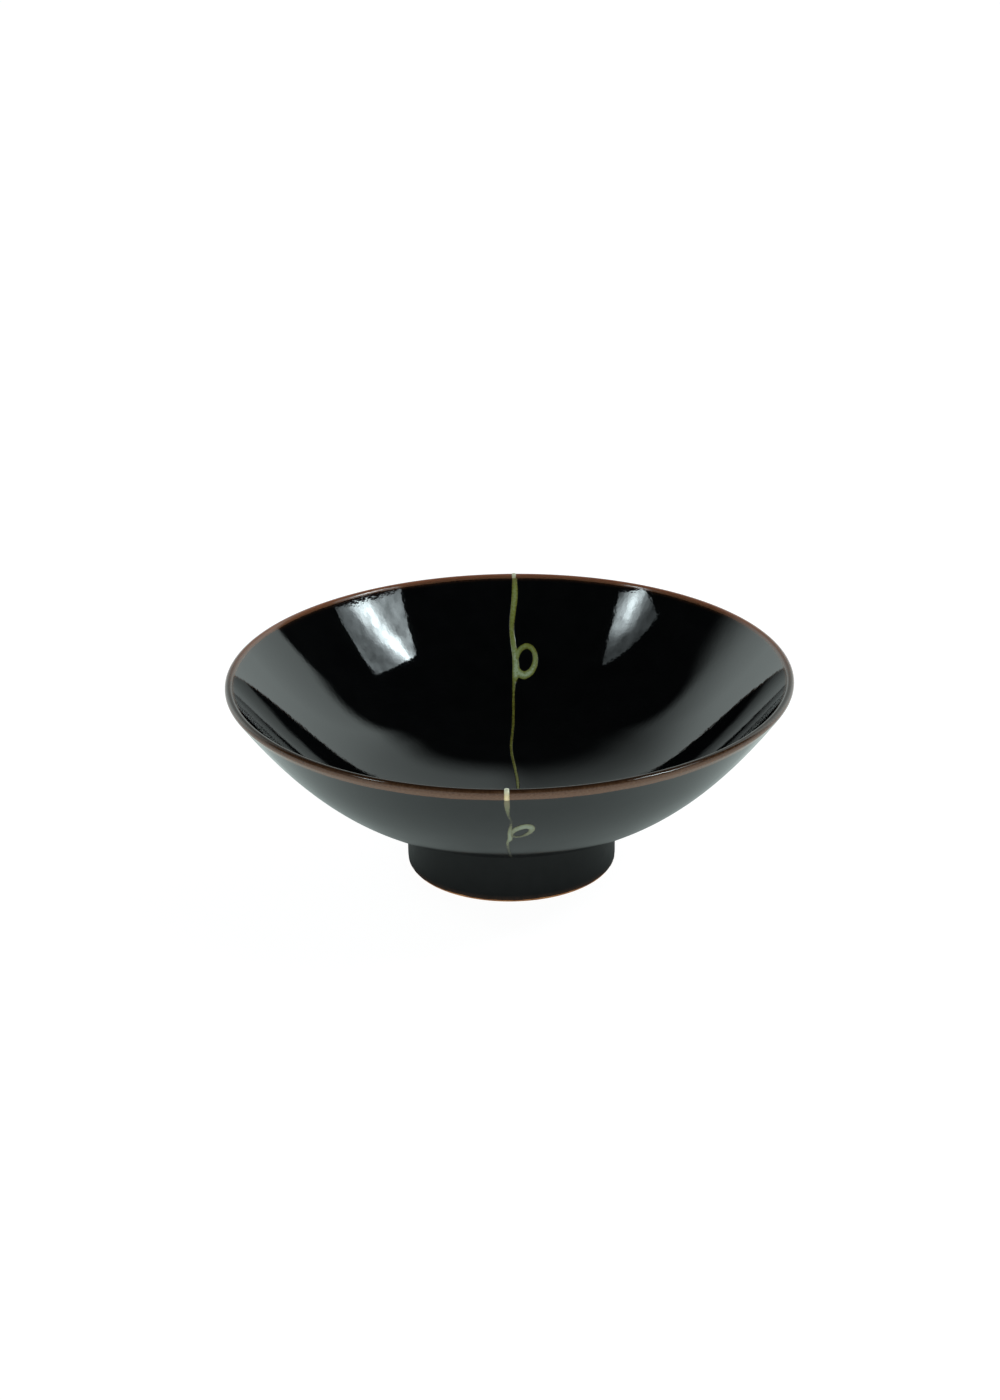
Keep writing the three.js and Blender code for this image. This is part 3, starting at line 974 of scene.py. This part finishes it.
def panel(name, outline, glow):
    """A glowing panel whose outline is given as directions; glow(bearing, rise) is its brightness there."""
    bearings, rises = zip(*outline)
    left, right, low, high = min(bearings), max(bearings), min(rises), max(rises)
    bm = bmesh.new()
    bm.faces.new([bm.verts.new(direction(b, r) * PANEL_DISTANCE) for b, r in outline])
    for k in range(PANEL_ROWS):
        share = (k + 0.5) / PANEL_ROWS
        upright = upright_cut(left + (right - left) * share)
        level = level_cut((left + right) / 2, low + (high - low) * share)
        for normal in (upright, level):
            geom = bm.verts[:] + bm.edges[:] + bm.faces[:]
            bmesh.ops.bisect_plane(bm, geom=geom, plane_co=(0, 0, 0), plane_no=normal)
    layer = bm.verts.layers.float.new("glow")
    for vertex in bm.verts:
        x, y, z = vertex.co.normalized()
        vertex[layer] = glow(math.degrees(math.atan2(x, -y)), math.degrees(math.asin(z)))
    piece = make_object(name, bm)
    recipe = Recipe(name + "_light", Roughness=1.0, Specular_IOR_Level=0.0)
    recipe.set(recipe.shader, {"Base Color": (0, 0, 0, 1), "Emission Color": PANEL_TINT})
    folds = recipe.math("MULTIPLY_ADD", recipe.noise(0.3, detail=4, roughness=0.65), 2.6, -0.3)
    crumple = recipe.math("MAXIMUM", folds, 0.25)
    strength = recipe.math("MULTIPLY", recipe.attribute("glow"), crumple)
    recipe.set(recipe.shader, {"Emission Strength": strength})
    piece.data.materials.append(recipe.material)
    piece.visible_camera = False
    print(f"{name}: {len(piece.data.polygons)} faces, {PANEL_DISTANCE} m away")


def bell(value, middle, width):
    """1 at the middle, falling away smoothly on both sides."""
    return math.exp(-((value - middle) / width) ** 2)


panel(
    "right_panel", [(58, 48), (73, 58), (101, 49), (91, 38), (75, 44)],
    lambda b, r: 2.5 + 28 * bell(b, 78.5, 4.4) + 4.5 * bell(b, 66, 6),
)
panel(
    "left_panel", [(-61, 48), (-72, 56), (-81, 60), (-85, 43), (-72, 44)],
    lambda b, r: 0.8 + 16 * bell(b, -70, 5) * bell(r, 47.5, 5),
)

# %% [markdown]
# ## The room
# The room is painted by direction in the world's nodes: a pale band near the horizon all round, the white
# sweep behind the bowl with a soft upper edge, and a nearly dark ceiling. Heights are sines of the rise, and
# "behind" is 1 straight behind the bowl and 0 at its sides. The sweep is dimmest straight behind. Its top
# edge sags there and drops towards its ends, and its left end is drawn out softly.

# %% Room
world = bpy.data.worlds.new("studio_room")
bpy.context.scene.world = world
world.use_nodes = True
ROOM_TINT = (0.88, 1.0, 0.98, 1)
CEILING = 0.015
HORIZON = 0.9
SWEEP_MIDDLE = 0.62
SWEEP_SIDES = 1.6
SWEEP_FALL = 3.9
SWEEP_TOP = math.sin(math.radians(46.5))
SWEEP_SAG = -0.06
SWEEP_DROP = -0.22
SWEEP_SOFT = 0.07


def paint_room(tree):
    links = tree.links

    def join(value, socket):
        if isinstance(value, bpy.types.NodeSocket):
            links.new(value, socket)
        else:
            socket.default_value = value

    def sum_up(operation, first, second=0.0, third=0.0):
        node = tree.nodes.new("ShaderNodeMath")
        node.operation = operation
        for value, socket in zip((first, second, third), node.inputs):
            join(value, socket)
        return node.outputs[0]

    def soft_step(value, low, high):
        node = tree.nodes.new("ShaderNodeMapRange")
        node.interpolation_type = "SMOOTHSTEP"
        for item, socket in zip((value, low, high, 0.0, 1.0), node.inputs):
            join(item, socket)
        return node.outputs[0]

    place = tree.nodes.new("ShaderNodeTexCoord").outputs["Generated"]
    split = tree.nodes.new("ShaderNodeSeparateXYZ")
    links.new(place, split.inputs[0])
    x, y, z = split.outputs
    level = sum_up("SQRT", sum_up("MULTIPLY_ADD", x, x, sum_up("MULTIPLY", y, y)))
    behind = sum_up("DIVIDE", y, level)
    sag = sum_up("MULTIPLY_ADD", soft_step(behind, 0.88, 1.0), SWEEP_SAG, SWEEP_TOP)
    top = sum_up("MULTIPLY_ADD", soft_step(behind, 0.80, 0.46), SWEEP_DROP, sag)
    below_top = soft_step(sum_up("SUBTRACT", top, z), -SWEEP_SOFT, SWEEP_SOFT)
    sharp_end = sum_up("MULTIPLY", soft_step(behind, 0.46, 0.50), soft_step(x, -0.05, 0.05))
    soft_end = sum_up("MULTIPLY", soft_step(behind, 0.28, 0.64), soft_step(x, 0.05, -0.05))
    fading_up = sum_up("MULTIPLY_ADD", soft_step(z, 0.30, 0.78), -0.85, 1.0)
    across = sum_up("MULTIPLY_ADD", soft_end, fading_up, sharp_end)
    rising = sum_up("MULTIPLY_ADD", behind, -SWEEP_FALL, SWEEP_MIDDLE + SWEEP_FALL)
    brightness = sum_up("MINIMUM", rising, SWEEP_SIDES)
    back = sum_up("MULTIPLY", sum_up("MULTIPLY", across, below_top), brightness)
    low = sum_up("MULTIPLY", soft_step(z, 0.40, 0.26), HORIZON)
    total = sum_up("ADD", sum_up("MAXIMUM", back, low), CEILING)
    background = tree.nodes["Background"]
    links.new(total, background.inputs["Strength"])
    background.inputs["Color"].default_value = ROOM_TINT


paint_room(world.node_tree)
print("room: ceiling", CEILING, "horizon", HORIZON, "sweep", SWEEP_MIDDLE, "to", SWEEP_SIDES)

# %% [markdown]
# ## The camera
# A long lens a little over a metre away keeps the lip's ellipse calm. The camera is placed by its distance
# and by how far it stands above the level, and is then aimed by small turns to set the bowl in the frame.

# %% Camera
DISTANCE = 9.472 * RIM_RADIUS
RISE = math.radians(26.49)
TURN = math.radians(-0.21)
TILT = math.radians(3.42)
ROLL = math.radians(-0.75)
FOCAL_LENGTH = 66.86


def swing(first, second, angle):
    """Two square directions, both turned by angle from the first towards the second."""
    return (first * math.cos(angle) + second * math.sin(angle),
            second * math.cos(angle) - first * math.sin(angle))


back_away = Vector((0, -math.cos(RISE), math.sin(RISE)))
forward = -back_away
right = Vector((1, 0, 0))
up = right.cross(forward)
forward, right = swing(forward, right, TURN)
forward, up = swing(forward, up, TILT)
right, up = swing(right, up, ROLL)
lens = bpy.data.cameras.new("camera")
lens.sensor_fit = "VERTICAL"
lens.sensor_height = 36
lens.lens = FOCAL_LENGTH
camera = bpy.data.objects.new("camera", lens)
matrix = camera.matrix_world.copy()
for row in range(3):
    matrix[row][0], matrix[row][1], matrix[row][2] = right[row], up[row], -forward[row]
    matrix[row][3] = (back_away * DISTANCE)[row]
camera.matrix_world = matrix
bpy.context.scene.collection.objects.link(camera)
bpy.context.scene.camera = camera
bpy.context.scene.view_settings.view_transform = "Standard"
print(f"camera {DISTANCE:.3f} m from the bowl, {FOCAL_LENGTH} mm lens")
